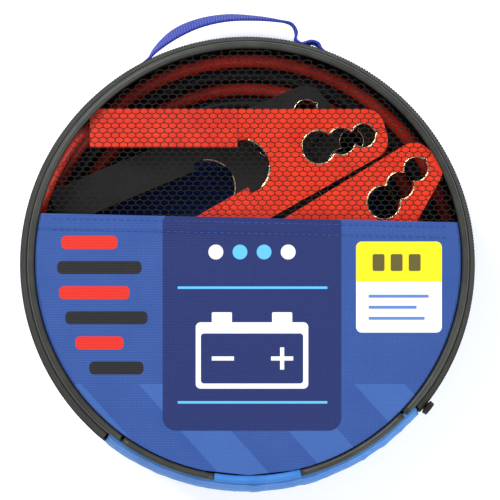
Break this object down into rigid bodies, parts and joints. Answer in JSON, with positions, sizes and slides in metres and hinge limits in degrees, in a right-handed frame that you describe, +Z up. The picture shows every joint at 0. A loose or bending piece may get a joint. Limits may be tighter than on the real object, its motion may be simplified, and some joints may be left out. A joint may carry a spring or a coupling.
{
  "type": "jumper cable set in round zip bag",
  "caption": "Jumper cables with spring clamps coiled in a round zip bag with a mesh window and a webbing handle.",
  "frame": {"origin": "centre of the bag's back face, on the floor it lies on", "axes": "+Z up out of the window, +Y toward the carry handle"},
  "size_m": [0.28, 0.299, 0.079],
  "materials": {
    "trim_fabric": "black zip tape and teeth",
    "piping": "dark grey piping",
    "gusset_fabric": "light blue coated fabric",
    "panel_fabric": "blue coated fabric with print",
    "back_fabric": "navy fabric",
    "net": "black hexagonal mesh",
    "webbing": "ribbed blue webbing",
    "red_pvc": "soft red PVC",
    "black_pvc": "soft black PVC",
    "red_paint": "satin red paint",
    "black_paint": "satin black paint",
    "bare_steel": "zinc plated"
  },
  "bodies": {
    "root": {"back_panel": "back_fabric", "back_piping": "piping", "gusset_wall": "gusset_fabric", "zip_tape_base": "trim_fabric", "zip_teeth_base": "trim_fabric", "hinge_gusset": "gusset_fabric", "front_piping_left": "piping", "front_piping_right": "piping", "hinge_patch": "gusset_fabric", "front_panel_lower": "panel_fabric", "zip_slider": "trim_fabric", "zip_puller": "trim_fabric", "carry_handle": "webbing", "coil_red_outer": "red_pvc", "coil_black_outer": "black_pvc", "coil_red_inner": "red_pvc", "coil_black_inner": "black_pvc", "lead_red_1": "red_pvc", "lead_black_1": "black_pvc", "lead_red_2": "red_pvc", "lead_black_2": "black_pvc", "red_1_lower": "red_paint", "red_1_grip_lower": "red_pvc", "red_1_pin": "bare_steel", "red_1_spring": "bare_steel", "red_2_upper": "red_paint", "red_2_grip_upper": "red_pvc", "red_2_pin": "bare_steel", "red_2_spring": "bare_steel", "black_1_lower": "black_paint", "black_1_grip_lower": "black_pvc", "black_1_pin": "bare_steel", "black_1_spring": "bare_steel", "black_2_upper": "black_paint", "black_2_grip_upper": "black_pvc", "black_2_pin": "bare_steel", "black_2_spring": "bare_steel"},
    "lid": {"zip_teeth_lid": "trim_fabric", "zip_tape_lid": "trim_fabric", "front_piping_lid": "piping", "mesh_window": "net", "front_panel": "panel_fabric"},
    "red_1_half": {"red_1_upper": "red_paint", "red_1_grip_upper": "red_pvc"},
    "red_2_half": {"red_2_lower": "red_paint", "red_2_grip_lower": "red_pvc"},
    "black_1_half": {"black_1_upper": "black_paint", "black_1_grip_upper": "black_pvc"},
    "black_2_half": {"black_2_lower": "black_paint", "black_2_grip_lower": "black_pvc"}
  },
  "joints": [
    {"name": "lid_hinge", "type": "hinge", "parent": "root", "child": "lid", "pos_m": [0.00877, -0.09846, 0.07945], "axis": [0.9961, 0.0886, 0], "range_deg": [0, 170]},
    {"name": "red_1_pivot", "type": "hinge", "parent": "root", "child": "red_1_half", "pos_m": [0.0239, 0.0678, 0.0624], "axis": [0, 0, 1], "range_deg": [0, 20], "stiffness_Nm_per_rad": 2, "springref_deg": -28.65},
    {"name": "red_2_pivot", "type": "hinge", "parent": "root", "child": "red_2_half", "pos_m": [0.0696, 0.0241, 0.0624], "axis": [0, 0, -1], "range_deg": [0, 12], "stiffness_Nm_per_rad": 2, "springref_deg": -28.65},
    {"name": "black_1_pivot", "type": "hinge", "parent": "root", "child": "black_1_half", "pos_m": [-0.0022, 0.0659, 0.0395], "axis": [0, 0, 1], "range_deg": [0, 20], "stiffness_Nm_per_rad": 2, "springref_deg": -28.65},
    {"name": "black_2_pivot", "type": "hinge", "parent": "root", "child": "black_2_half", "pos_m": [0.0464, 0.0319, 0.0395], "axis": [0, 0, -1], "range_deg": [0, 20], "stiffness_Nm_per_rad": 2, "springref_deg": -28.65}
  ]
}
